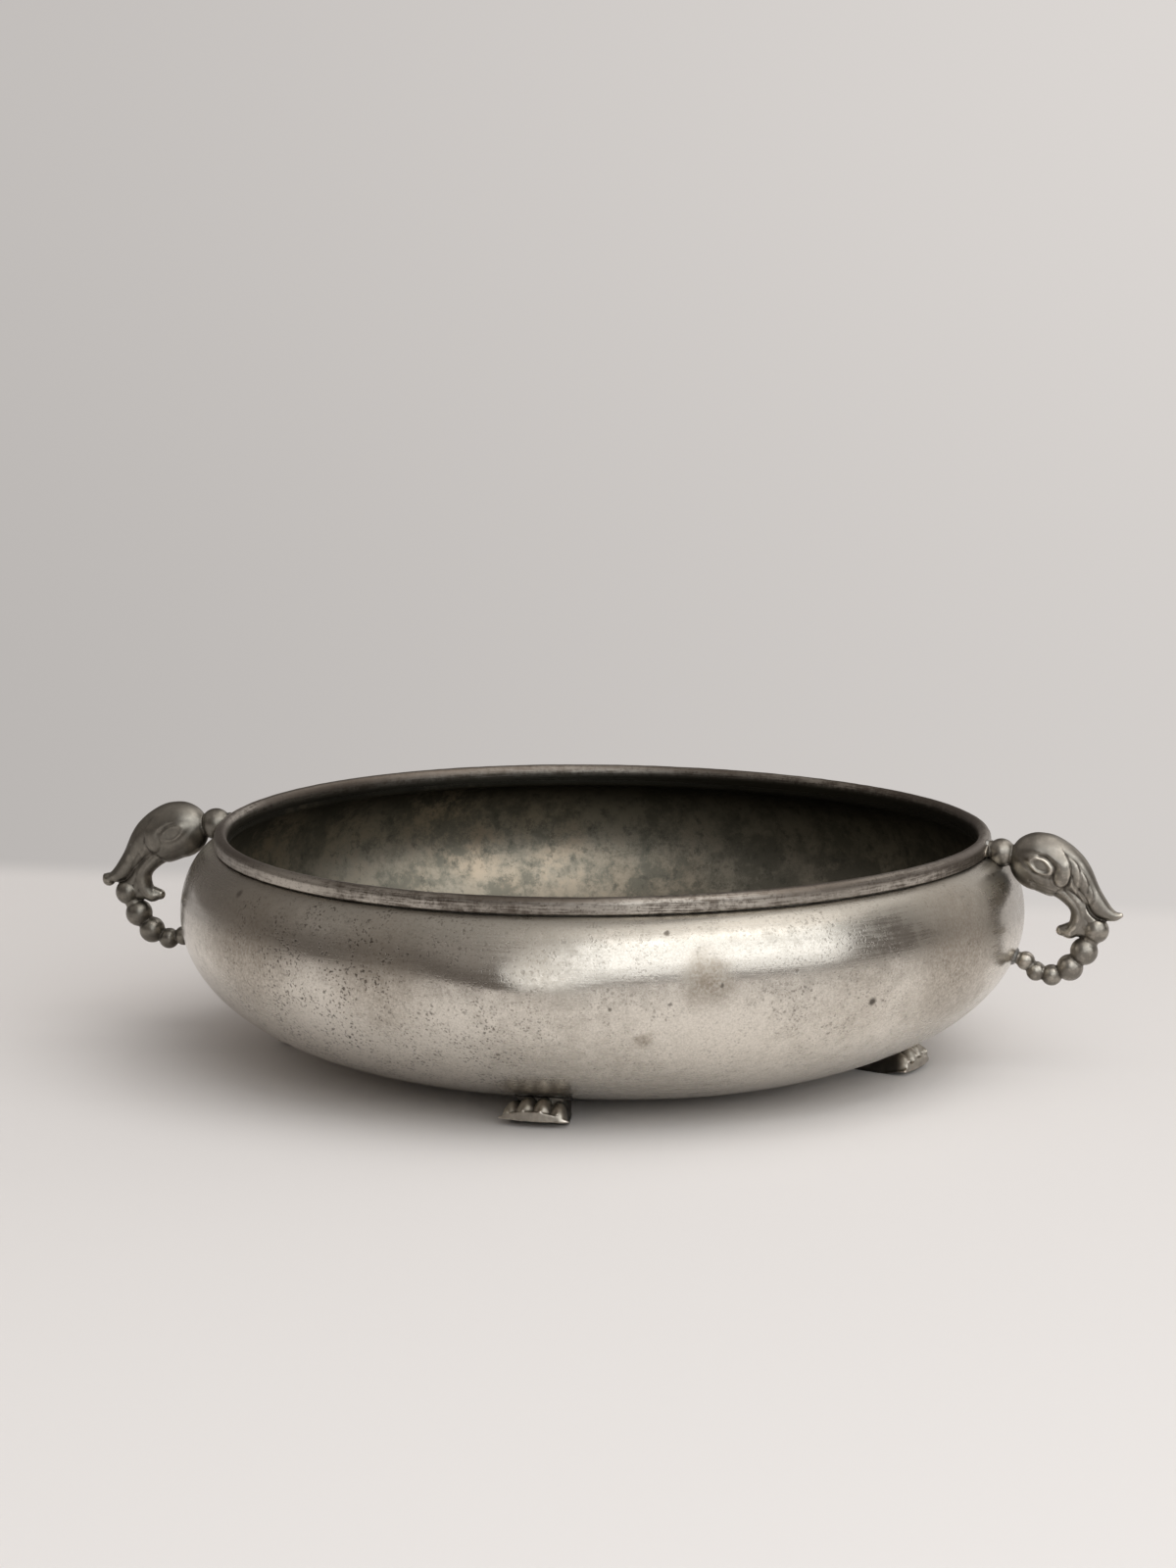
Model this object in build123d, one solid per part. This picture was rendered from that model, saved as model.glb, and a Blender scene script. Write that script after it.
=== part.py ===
from build123d import *
import math
import os

# A pewter bowl with an applied rim, two cast handles and four cast paw feet, all held by solder.
# Millimetres. Z is up, the table is at Z = 0, the bowl's axis is the Z axis and the handles lie along X.

# Bowl: a spun shell with a flat base, an elliptical side and a shoulder that turns in to the mouth
belly_radius = 117.5
base_radius = 51.5
base_clearance = 2.0
belly_rise = 40.0
shoulder_rise = 18.5
lip_inset = 11.7
lip_width = 1.4
wall = 1.8

# Rim: a strip on the lip, rounded outside, with solder under it
rim_width = 3.6
rim_height = 4.1
rim_top_round = 2.0
rim_under_round = 0.8
rim_inner_round = 0.5
rim_solder_gap = 0.4
rim_solder_setback = 0.2

# Handles: places are given as outward of the belly and down from the rim's top
upper_bead_place = (-4.9, 2.9)
upper_bead_radius = 3.5
tongue_bead_radius = 1.6
tongue_rim_radius = 1.9
tongue_bite = 1.5
bead_places = [(20.5, 24.0), (17.3, 30.0), (13.5, 34.7), (8.5, 37.0), (4.2, 36.1), (1.3, 33.3)]
bead_radii = [3.5, 3.6, 3.5, 2.8, 2.55, 2.4]
bead_core_radius = 1.5
collar_radius = 1.75
collar_rise_angle = 20.0
collar_bite = 3.0
lip_ball_radius = 1.3

# Stations along the head and its lower lip, from the root to the tip:
# place outward, place down, heading in degrees, half height and half thickness of the oval there
head_stations = [
    (-3.1, 3.8, -3.0, 4.6, 3.8),
    (0.7, 5.6, -5.0, 7.3, 5.6),
    (5.9, 5.7, -8.0, 8.5, 6.2),
    (11.1, 7.8, -20.0, 7.6, 5.7),
    (15.3, 9.8, -42.0, 4.9, 4.4),
    (18.7, 14.0, -55.0, 3.2, 3.3),
    (22.1, 18.4, -45.0, 2.6, 2.6),
    (25.5, 19.9, -5.0, 1.4, 1.7),
    (27.8, 19.5, 20.0, 0.5, 0.6),
]
lip_stations = [
    (8.0, 10.5, -35.0, 3.4, 3.6),
    (12.1, 14.0, -50.0, 2.7, 3.0),
    (15.1, 18.1, -75.0, 2.2, 2.7),
    (14.8, 22.2, -115.0, 2.1, 2.5),
    (12.7, 24.5, -155.0, 1.6, 2.1),
    (10.8, 24.1, -200.0, 1.0, 1.3),
]

# Feet: a fan-shaped sole, four toes on it and an ankle up to the bowl
sole_inset = 25.0
sole_length = 19.0
sole_front_width = 19.4
sole_back_width = 17.4
sole_front_bow = 1.4
sole_thickness = 2.0
toe_tip_setback = 3.4
toe_tip_height = 3.6
toe_root_setback = 11.5
toe_root_height = 6.4
toe_places = [-6.8, -2.4, 2.4, 6.8]
toe_radii = [2.0, 2.5, 2.5, 2.0]
ankle_front_setback = 7.0
ankle_length = 10.0
ankle_width = 16.8
ankle_corner = 2.5

# Solder: how far each fillet reaches along the two pieces that it joins
handle_solder_leg = 0.9
foot_solder_leg = 0.8

# Heights and radii worked out from the sizes above
base_z = base_clearance
belly_z = base_z + belly_rise
lip_z = belly_z + shoulder_rise
rim_z = lip_z + rim_solder_gap
rim_top_z = rim_z + rim_height
lip_radius = belly_radius - lip_inset
mouth_radius = lip_radius - lip_width
rim_radius = mouth_radius + rim_width
sole_reach = belly_radius - sole_inset

quarter_turn = 90
handle_turns = {"right": 0, "left": 2 * quarter_turn}
foot_turns = {"front": -quarter_turn, "right": 0, "back": quarter_turn, "left": 2 * quarter_turn}


def spin(section):
    """Solid of revolution about Z from a flat section of (radius, height), its seam between two feet."""
    return Rot(0, 0, quarter_turn / 2) * revolve(Plane.XZ * section, Axis.Z)


def filled_bowl(grow):
    """The bowl's outside as one filled solid, moved outward by grow, or inward where it is negative."""
    bottom = base_z - grow
    top = lip_z + grow
    side_width = belly_radius - base_radius + grow
    shoulder_width = lip_inset + grow
    base = Line((0, bottom), (base_radius, bottom))
    turn_up = (base_radius, belly_z)
    side_height = belly_rise + grow
    side = EllipticalCenterArc(turn_up, side_width, side_height, -quarter_turn, arc_size=quarter_turn)
    turn_in = (lip_radius, belly_z)
    shoulder_height = shoulder_rise + grow
    shoulder = EllipticalCenterArc(turn_in, shoulder_width, shoulder_height, 0, arc_size=quarter_turn)
    cover = Line((lip_radius, top), (0, top))
    axis = Line((0, top), (0, bottom))
    return spin(make_face([base, side, shoulder, cover, axis]))


def side_radius(height):
    """Outside radius of the bowl's side at a height below the belly."""
    drop = (belly_z - height) / belly_rise
    return base_radius + (belly_radius - base_radius) * math.sqrt(1 - drop**2)


def make_bowl():
    mouth = Pos(0, 0, lip_z) * Cylinder(mouth_radius, shoulder_rise)
    return filled_bowl(0) - filled_bowl(-wall) - mouth


def rim_section(inner_radius, grow):
    """Section of the rim from inner_radius to its rounded outside, which is moved outward by grow."""
    outer = rim_radius + grow
    under = rim_z - grow
    top = rim_top_z + grow
    corners = [(inner_radius, under), (outer, under), (outer, top), (inner_radius, top)]
    section = make_face(Polyline(*corners, close=True))
    outer_corners = section.vertices().group_by(Axis.X)[-1].sort_by(Axis.Y)
    section = fillet(outer_corners[0], rim_under_round + grow)
    top_corner = section.vertices().group_by(Axis.Y)[-1].sort_by(Axis.X)[-1]
    return fillet(top_corner, rim_top_round + grow)


def make_rim():
    section = rim_section(mouth_radius, 0)
    inner_top = section.vertices().group_by(Axis.X)[0].sort_by(Axis.Y)[-1]
    return spin(fillet(inner_top, rim_inner_round))


def filled_rim(grow):
    """The rim's outside as a filled disc, moved outward by grow."""
    return spin(rim_section(0, grow))


def make_rim_solder():
    outer = rim_radius - rim_under_round - rim_solder_setback
    depth = shoulder_rise / 2
    ring = Cylinder(outer, depth) - Cylinder(mouth_radius, depth)
    return Pos(0, 0, rim_z - depth / 2) * ring - filled_bowl(0)


def handle_point(place):
    """A place on the handle's middle plane as a point of the model."""
    outward, down = place
    return Vector(belly_radius + outward, 0, rim_top_z - down)


def rod(start, end, start_radius, end_radius):
    """A straight round rod between two points, tapered where its radii differ."""
    run = end - start
    seat = Plane(start, z_dir=run)
    align = (Align.CENTER, Align.CENTER, Align.MIN)
    if start_radius == end_radius:
        return seat * Cylinder(start_radius, run.length, align=align)
    return seat * Cone(start_radius, end_radius, run.length, align=align)


def ball(point, radius):
    return Pos(point) * Sphere(radius)


def horn(stations):
    """A curved, tapering form through oval stations."""
    ovals = []
    for outward, down, heading, half_height, half_thickness in stations:
        turn = math.radians(heading)
        along = (math.cos(turn), 0, math.sin(turn))
        across = (-math.sin(turn), 0, math.cos(turn))
        seat = Plane(handle_point((outward, down)), x_dir=across, z_dir=along)
        ovals.append(seat * Ellipse(half_height, half_thickness))
    return loft(ovals)


def tongue_ends():
    """Centre of the upper bead, and the point inside the rim that the tongue runs to."""
    rim_end = Vector(rim_radius - tongue_bite, 0, rim_z + rim_height / 2)
    return handle_point(upper_bead_place), rim_end


def collar_ends():
    """Centre of the last bead, and the point inside the wall that the collar runs to."""
    bead = handle_point(bead_places[-1])
    rise = math.radians(collar_rise_angle)
    inward = Vector(-math.cos(rise), 0, math.sin(rise))
    reach = (bead.X - side_radius(bead.Z)) / math.cos(rise) + collar_bite
    return bead, bead + inward * reach


def make_handle():
    upper_bead, rim_end = tongue_ends()
    last_bead, wall_end = collar_ends()
    beads = [handle_point(place) for place in bead_places]
    lip_end = handle_point(lip_stations[-1][:2])
    casting = horn(head_stations) + horn(lip_stations) + ball(lip_end, lip_ball_radius)
    casting += ball(upper_bead, upper_bead_radius)
    casting += rod(upper_bead, rim_end, tongue_bead_radius, tongue_rim_radius)
    casting += rod(upper_bead, handle_point(head_stations[1][:2]), bead_core_radius, bead_core_radius)
    core = [handle_point(lip_stations[2][:2])] + beads
    for start, end in zip(core, core[1:]):
        casting += rod(start, end, bead_core_radius, bead_core_radius)
    for bead, radius in zip(beads, bead_radii):
        casting += ball(bead, radius)
    casting += rod(last_bead, wall_end, collar_radius, collar_radius)
    return casting - filled_bowl(0) - filled_rim(0)


def make_upper_solder(handle):
    upper_bead, rim_end = tongue_ends()
    sleeve_radius = tongue_rim_radius + handle_solder_leg
    sleeve = rod(upper_bead, rim_end, sleeve_radius, sleeve_radius)
    fillet_ring = sleeve & filled_rim(handle_solder_leg)
    return fillet_ring - filled_rim(0) - filled_bowl(0) - handle - make_rim_solder()


def make_lower_solder(handle):
    last_bead, wall_end = collar_ends()
    sleeve_radius = collar_radius + handle_solder_leg
    sleeve = rod(last_bead, wall_end, sleeve_radius, sleeve_radius)
    return (sleeve & filled_bowl(handle_solder_leg)) - filled_bowl(0) - handle


def ankle_outline(grow):
    middle = sole_reach - ankle_front_setback - ankle_length / 2
    outline = RectangleRounded(ankle_length + 2 * grow, ankle_width + 2 * grow, ankle_corner + grow)
    return Pos(middle, 0, 0) * outline


def make_foot():
    front = sole_reach - sole_front_bow
    back = sole_reach - sole_length
    front_half = sole_front_width / 2
    back_half = sole_back_width / 2
    sides = Polyline((front, front_half), (back, back_half), (back, -back_half), (front, -front_half))
    bow = ThreePointArc((front, -front_half), (sole_reach, 0), (front, front_half))
    paw = extrude(make_face([*sides.edges(), bow]), sole_thickness)
    for place, radius in zip(toe_places, toe_radii):
        tip = Vector(sole_reach - toe_tip_setback, place, toe_tip_height)
        root = Vector(sole_reach - toe_root_setback, place, toe_root_height)
        paw += ball(tip, radius) + rod(tip, root, radius, radius)
    # The toes stop short of the bowl, so the solder runs unbroken round the ankle
    paw -= filled_bowl(foot_solder_leg)
    return paw + (extrude(ankle_outline(0), belly_z) - filled_bowl(0))


def make_foot_solder(foot):
    sleeve = extrude(ankle_outline(foot_solder_leg), belly_z)
    return (sleeve & filled_bowl(foot_solder_leg)) - filled_bowl(0) - foot


def build():
    """Every piece of the object by its name."""
    pieces = {"bowl_body": make_bowl(), "rim_band": make_rim(), "rim_solder": make_rim_solder()}
    handle = make_handle()
    upper_solder = make_upper_solder(handle)
    lower_solder = make_lower_solder(handle)
    for side, turn in handle_turns.items():
        pieces[f"handle_{side}"] = Rot(0, 0, turn) * handle
        pieces[f"handle_{side}_upper_solder"] = Rot(0, 0, turn) * upper_solder
        pieces[f"handle_{side}_lower_solder"] = Rot(0, 0, turn) * lower_solder
    foot = make_foot()
    foot_solder = make_foot_solder(foot)
    for side, turn in foot_turns.items():
        pieces[f"foot_{side}"] = Rot(0, 0, turn) * foot
        pieces[f"foot_{side}_solder"] = Rot(0, 0, turn) * foot_solder
    return pieces


os.makedirs("parts", exist_ok=True)
for name, piece in build().items():
    export_step(piece, f"parts/{name}.step")
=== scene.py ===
import math

import bmesh
import bpy
import numpy as np
from mathutils import Euler, Matrix, Vector, noise
from mathutils.bvhtree import BVHTree


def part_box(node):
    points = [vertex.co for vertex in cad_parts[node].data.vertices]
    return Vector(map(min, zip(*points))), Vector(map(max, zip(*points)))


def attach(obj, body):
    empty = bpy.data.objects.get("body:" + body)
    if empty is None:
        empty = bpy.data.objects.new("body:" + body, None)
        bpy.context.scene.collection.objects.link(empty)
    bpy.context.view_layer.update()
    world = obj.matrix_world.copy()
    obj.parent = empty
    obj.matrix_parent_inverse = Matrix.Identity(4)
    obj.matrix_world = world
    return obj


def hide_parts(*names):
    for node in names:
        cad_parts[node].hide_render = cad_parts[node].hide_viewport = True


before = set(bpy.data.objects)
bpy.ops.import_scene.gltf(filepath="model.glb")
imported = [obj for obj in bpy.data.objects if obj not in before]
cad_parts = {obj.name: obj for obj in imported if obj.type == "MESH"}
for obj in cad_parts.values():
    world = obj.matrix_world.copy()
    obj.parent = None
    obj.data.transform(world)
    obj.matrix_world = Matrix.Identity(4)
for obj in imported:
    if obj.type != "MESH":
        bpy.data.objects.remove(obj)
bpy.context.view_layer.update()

# Shapes are worked out in millimetres and go into their meshes in metres
MM = 0.001

# Camera: where the photograph was taken from, in metres and degrees, and its frame in pixels
CAMERA_AZIMUTH = 11.68
CAMERA_DISTANCE = 1.3442
CAMERA_HEIGHT = 0.3012
CAMERA_PITCH = 9.477
CAMERA_YAW = 0.17
FOCAL_PIXELS = 5000.0
PHOTO_PIXELS = (1200.0, 1600.0)
SENSOR_MM = 36.0


def box_mm(node):
    low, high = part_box(node)
    return np.array(low) / MM, np.array(high) / MM


# Sizes of the solids, read from the frame
BOWL_LOW, BOWL_HIGH = box_mm("bowl_body")
RIM_LOW, RIM_HIGH = box_mm("rim_band")
BELLY_RADIUS = BOWL_HIGH[0]
BASE_Z = BOWL_LOW[2]
LIP_Z = BOWL_HIGH[2]
RIM_RADIUS = RIM_HIGH[0]
RIM_Z = RIM_LOW[2]
RIM_TOP_Z = RIM_HIGH[2]

# Sizes of the solids that the boxes don't show
BASE_RADIUS = 51.5
BELLY_RISE = 40.0
LIP_INSET = 11.7
LIP_WIDTH = 1.4
WALL = 1.8
RIM_TOP_ROUND = 2.0
RIM_UNDER_ROUND = 0.45
RIM_INNER_ROUND = (1.6, 2.4)
RIM_BED = 0.35
BELLY_Z = BASE_Z + BELLY_RISE
LIP_RADIUS = BELLY_RADIUS - LIP_INSET
MOUTH_RADIUS = LIP_RADIUS - LIP_WIDTH

# The bowl and rim are no longer quite round and level
SADDLE_RISE = 0.63
SADDLE_TURN = CAMERA_AZIMUTH
BOWL_SEGMENTS = 480
BASE_RINGS = 15
SIDE_RINGS = 72
SHOULDER_RINGS = 28
SHARP_CORNER = 55.0

# The seam of solder under the rim: how far it hangs down and stands back from the rim's two faces
SEAM_DROP = 0.4
SEAM_OUTER_SETBACK = 0.25
SEAM_INNER_SETBACK = 0.5

# Small lumps of each piece's surface: height, distance apart and seed of each layer
BOWL_LUMPS = [(0.08, 26.0, 3), (0.006, 9.0, 7)]
RIM_LUMPS = [(0.05, 7.0, 11), (0.04, 2.5, 13)]
SEAM_LUMPS = [(0.12, 5.0, 17)]
HANDLE_LUMPS = [(0.05, 4.0, 23)]
UPPER_JOINT_LUMPS = [(0.10, 1.6, 29)]
LOWER_JOINT_LUMPS = [(0.10, 1.6, 31)]
FOOT_JOINT_LUMPS = [(0.15, 1.8, 37)]
FOOT_LUMPS = [(0.12, 1.5, 41)]

# Marks on the bowl, at pixels of the photograph. A slight swelling of the wall: height and spread in mm
SWELLING = {"pixel": (750, 1112), "height": 0.6, "spread": 26.0}
# A bulge, whose right flank shows as a bright patch: its height and how far it runs out on each side
BULGE = {
    "pixel": (505, 1010), "tilt": -10.0, "height": 3.3,
    "left": 11.0, "right": 13.5, "above": 6.3, "below": 15.0,
}
# Marks of the finishes: pixel, size in mm and strength
STAINS_AND_SHADE = [
    ((722, 999), 10.5, 0.95),
    ((655, 1063), 4.2, 0.85),
    ((553, 1007), 4.0, 0.45),
    # Painted shade that dims the bright patch beside the bulge
    ((548, 990), 15.0, 0.4),
    ((548, 1113), 14.0, 0.8),
    ((250, 972), 30.0, 0.7),
    ((385, 1000), 24.0, 0.6),
    ((985, 975), 32.0, 0.75),
    ((880, 1015), 18.0, 0.35),
]
SPECKLED = [
    ((330, 1020), 75.0, 1.0),
    ((480, 1080), 45.0, 0.8),
    ((640, 1065), 40.0, 0.45),
    ((860, 1000), 40.0, 0.6),
]
INSIDE_WEAR = [
    ((485, 870), 17.0, 0.9),
    ((512, 886), 14.0, 0.5),
    ((575, 878), 20.0, 0.75),
    ((620, 895), 22.0, 0.4),
    ((430, 893), 18.0, 0.35),
    ((545, 850), 25.0, 0.35),
    ((690, 890), 22.0, 0.35),
    ((380, 880), 22.0, 0.15),
    ((450, 832), 24.0, 0.7),
    ((360, 850), 26.0, 0.4),
    ((280, 852), 22.0, 0.8),
]
RUBBED_RIM = [
    ((700, 918), 30.0, 0.35),
    ((400, 909), 30.0, 0.3),
    ((1008, 852), 25.0, 0.35),
    ((930, 890), 30.0, 0.2),
    ((600, 781), 45.0, 0.12),
    ((850, 799), 40.0, 0.3),
    ((245, 835), 25.0, 0.5),
    ((300, 896), 30.0, 0.35),
]
SPOTS = [
    ((890, 1022), 1.7, 1.0),
    ((518, 1046), 1.0, 0.9),
    ((680, 952), 1.1, 0.9),
    ((622, 1030), 0.9, 0.8),
    ((737, 1006), 0.9, 0.8),
    ((684, 1025), 0.8, 0.7),
    ((428, 1033), 1.0, 0.8),
    ((244, 912), 1.8, 0.7),
]

# Handles: places are outward of the belly and down from the rim's top
UPPER_BEAD_PLACE = (-5.8, 3.45)
UPPER_BEAD_RADII = {"right": 3.95, "left": 4.45}
TONGUE_BEAD_RADIUS = 3.2
TONGUE_RIM_RADIUS = 2.0
TONGUE_BITE = 1.2
TONGUE_SPREAD = (0.7, 6.5, 1.8)
TONGUE_SPREAD_RISE = 1.3
BEAD_PLACES = [(20.5, 24.0), (17.3, 30.0), (13.5, 34.7), (8.5, 37.0), (4.2, 36.1), (1.3, 33.3)]
BEAD_RADII = [3.6, 3.85, 3.7, 2.95, 2.7, 2.6]
BEAD_CORE_SHARE = 0.62
COLLAR_RADIUS = 1.75
COLLAR_RISE_ANGLE = 20.0
COLLAR_BITE = 0.5

# The head is an egg that runs out into a leaf. Half sizes: along, across and up
HEAD_EGG_PLACE = (4.7, 5.4)
HEAD_EGG_HALVES = (8.3, 6.2, 8.1)
HEAD_EGG_TILT = 10.0

# Stations along the head and its lower lip, from the root to the tip:
# place outward, place down, heading in degrees, half height and half thickness of the oval there
HEAD_STATIONS = [
    (0.7, 5.6, -5.0, 6.4, 5.0),
    (5.9, 5.7, -8.0, 8.3, 6.1),
    (11.1, 7.8, -20.0, 7.6, 5.7),
    (15.3, 9.8, -42.0, 4.9, 4.4),
    (18.7, 14.0, -55.0, 3.2, 3.3),
    (22.1, 18.4, -45.0, 2.6, 2.6),
    (25.5, 19.9, -5.0, 1.4, 1.7),
    (27.8, 19.5, 20.0, 0.5, 0.6),
]
LIP_STATIONS = [
    (8.0, 10.5, -35.0, 3.6, 3.8),
    (12.5, 13.9, -50.0, 2.9, 3.2),
    (15.7, 18.0, -75.0, 2.5, 2.9),
    (15.5, 22.2, -112.0, 2.4, 2.7),
    (13.2, 24.8, -155.0, 1.9, 2.3),
    (11.0, 24.4, -200.0, 1.2, 1.5),
]
LIP_BALL_RADIUS = 1.5
# Webs that join the lip, the leaf and the first bead: both ends and a radius
WEBS = [
    ((13.8, 13.0), (19.6, 22.0), 2.3),
    ((15.0, 16.5), (18.2, 23.5), 2.4),
    ((15.0, 23.8), (19.5, 24.2), 2.2),
    ((14.5, 23.0), (11.4, 24.3), 1.5),
]
# The left leaf ends in a blunt knob, and its chasing is nearly worn away
TIP_KNOBS = {"right": None, "left": ((26.1, 20.6), 1.9)}
CHASING_DEPTHS = {"right": 1.0, "left": 0.4}
# The head's crown, which is eased: where that sets in and dies out, outward and downward
CROWN_START = (-1.0, 1.5)
CROWN_END = (15.0, 19.0)
CROWN_FOOT = (9.0, 13.0)
CROWN_PASSES = 60
# Solder round the handle's two ends: radius, and distance back from the end
UPPER_JOINT = [(1.2, 1.9), (1.9, 1.6), (2.2, 1.0), (2.2, 0.3), (1.2, 0.3)]
LOWER_JOINT = [(1.6, 1.9), (2.2, 1.5), (2.75, 0.7), (2.75, 0.1), (1.6, 0.1)]
# Skin of the fused castings: mesh size, easing passes, and passes and depth that tell its hollows
HANDLE_VOXEL = 0.22
HANDLE_PASSES = 12
HANDLE_HOLLOWS = (14, 0.22)
JOINT_SIDES = 48
HANDLE_TURNS = {"right": 0.0, "left": 180.0}

# Chased lines on the head, at the places where the photograph shows them against the middle plane.
# The near face stands in front of that plane, so it seems to lie inward and lower for each mm of swell
NEAR_FACE_INWARD = 0.207
NEAR_FACE_DOWN = 0.228
EYE_GROOVE = [
    (4.2, 4.3), (5.6, 4.5), (7.5, 5.6), (8.7, 7.4), (8.1, 9.3), (7.0, 10.6), (7.3, 12.2), (9.0, 13.0),
]
SCALLOPS = [
    [(11.5, 3.5), (13.0, 6.0), (13.3, 8.2), (12.8, 10.4), (11.4, 12.6)],
    [(12.2, 3.8), (14.9, 5.9), (15.6, 8.7), (15.5, 11.2), (14.9, 13.4)],
    [(15.3, 6.8), (17.2, 9.3), (18.0, 11.7), (17.5, 13.7)],
    [(18.2, 11.1), (19.4, 13.6), (19.4, 15.1), (18.6, 16.3)],
]
MOUTH_LINES = [
    [(1.5, 11.1), (4.3, 12.3), (7.8, 13.1), (10.9, 13.9)],
    [(2.4, 12.2), (5.0, 13.2), (8.0, 14.0), (10.2, 14.9)],
]
LEAF_EDGE = [
    (13.1, 9.8), (13.9, 12.2), (15.6, 14.0), (17.1, 16.0),
    (17.7, 17.7), (18.6, 19.6), (20.7, 21.1), (24.4, 21.7),
]
THROAT_EDGE = [
    (10.9, 13.0), (12.2, 14.5), (14.1, 16.6), (15.5, 19.1), (15.8, 21.6), (14.9, 24.1), (13.8, 25.2),
]
# Grooves: stroke, depth and half width. Ledges: stroke, rise and reach
GROOVES = [(EYE_GROOVE, 0.22, 0.5), (LEAF_EDGE, 0.22, 0.42), (THROAT_EDGE, 0.26, 0.46)]
GROOVES += [(stroke, 0.18, 0.5) for stroke in SCALLOPS]
GROOVES += [(stroke, 0.18, 0.36) for stroke in MOUTH_LINES]
LEDGES = [(LEAF_EDGE, 0.3, 1.3)]
LEDGES += [(stroke, 0.16, 1.1) for stroke in SCALLOPS]
LEDGE_EDGE = 0.35
# Relief stands full on the parts that face aside, and fades where the head turns away
FACE_TURN = (0.2, 0.6)
# The almond eye, in shares of its half sizes: a raised rim and a socket, each with its
# height, place and half width, and a sunk flat with its depth and the ends of its edge
EYE_PLACE = (4.3, 7.0)
EYE_HALF = (3.3, 1.8)
EYE_TILT = 30.0
EYE_POINTEDNESS = 1.6
EYE_RIM = (0.26, 1.0, 0.2)
EYE_SOCKET = (-0.24, 1.5, 0.26)
EYE_FLAT_DEPTH = 0.16
EYE_FLAT_EDGE = (0.6, 0.9)
# The raised drop beside the eye and the line round it: each sets in between two places downward
LOBE = [(8.2, 3.6), (10.5, 6.6), (10.3, 10.4)]
LOBE_RADIUS = 2.4
LOBE_RISE = 0.8
LOBE_FULLNESS = 0.75
LOBE_FADE = (2.5, 7.0)
LOBE_LINE_DEPTH = 0.25
LOBE_LINE_HALF = 0.4
LOBE_LINE_FADE = (6.5, 9.5)

# Feet: made pointing along +X, then turned about the bowl's axis
SOLE_REACH = 92.5
SOLE_LENGTH = 19.0
SOLE_FRONT_HALF = 9.7
SOLE_BACK_HALF = 5.6
SOLE_FRONT_BOW = 1.4
SOLE_EDGE_THICKNESS = 0.4
SOLE_CROWN = 2.2
SOLE_SLOPE = 0.3
SOLE_LIFT_RUN = (0.55, 1.0)
SOLE_SLOPE_RUN = (0.6, 1.0)
SOLE_ROWS = 24
SOLE_COLUMNS = 25
# Toes: where each one ends across the sole, its share of a middle toe's size, and
# its arches from the ankle to the tip: place outward, height of the top and half width
TOE_PLACES = [-6.9, -2.5, 2.2, 6.6]
TOE_SIZES = [0.82, 1.0, 1.0, 0.86]
TOE_STATIONS = [
    (78.0, 5.2, 2.2),
    (82.0, 6.1, 2.4),
    (86.0, 7.2, 2.55),
    (88.5, 7.5, 2.6),
    (90.3, 6.7, 2.5),
    (91.5, 5.2, 2.0),
    (92.0, 4.2, 1.4),
]
TOE_FAN = 0.66
TOE_PEAK = 0.85
TOE_FLOOR = 0.2
CLAW_ENDS = ((90.3, 5.6), (92.1, 4.5))
CLAW_RADII = (0.75, 0.35)
ANKLE_MIDDLE = 80.5
ANKLE_HALF_LENGTH = 5.0
ANKLE_HALF_WIDTH = 6.8
ANKLE_SQUARENESS = 4.0
ANKLE_FLOOR = 1.0
ANKLE_BITE = 0.5
FOOT_VOXEL = 0.22
FOOT_PASSES = 2
FOOT_HOLLOWS = (10, 0.3)
FOOT_LUMPS_RISE = (0.4, 1.2)
# The bead of solder round the ankle: radius, distance off the ankle and below the bowl
FOOT_BEAD_RADIUS = 0.6
FOOT_BEAD_GAP = 0.2
FOOT_BEAD_DROP = 0.1
FOOT_BEAD_SIDES = 12
FOOT_BEAD_STEPS = 96
# Each foot was soldered on by hand: its bearing, own twist, setback and the lift of its front edge
FOOT_PLACES = {
    "front": (-89.3, -5.0, 0.0, 2.0),
    "right": (0.0, -12.0, 1.4, 1.2),
    "back": (90.0, 3.0, 0.0, 1.5),
    "left": (180.0, -4.0, 0.0, 1.5),
}


def smooth_step(value, low, high):
    share = np.clip((value - low) / (high - low), 0, 1)
    return share * share * (3 - 2 * share)


def heading(azimuth, elevation):
    """Unit vector towards an azimuth, measured as the camera's is, and an elevation."""
    turn = math.radians(azimuth)
    rise = math.radians(elevation)
    return Vector((math.sin(turn) * math.cos(rise), -math.cos(turn) * math.cos(rise), math.sin(rise)))


def spline(rows, steps):
    """Rows of numbers joined by smooth in-between rows, steps of them to each gap."""
    rows = np.asarray(rows, float)
    padded = np.vstack([2 * rows[0] - rows[1], rows, 2 * rows[-1] - rows[-2]])
    share = np.linspace(0, 1, steps, endpoint=False)[:, None]
    runs = []
    for before, start, end, after in zip(padded, padded[1:], padded[2:], padded[3:]):
        bend = 2 * before - 5 * start + 4 * end - after
        twist = 3 * start - before - 3 * end + after
        runs.append(start + 0.5 * ((end - before) * share + bend * share**2 + twist * share**3))
    return np.vstack([*runs, rows[-1:]])


def ellipse_arc(centre, across, up, start, end, count):
    """Points of an upright ellipse from one angle to another, in degrees."""
    angles = np.radians(np.linspace(start, end, count))
    return list(zip(centre[0] + across * np.cos(angles), centre[1] + up * np.sin(angles)))


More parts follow.
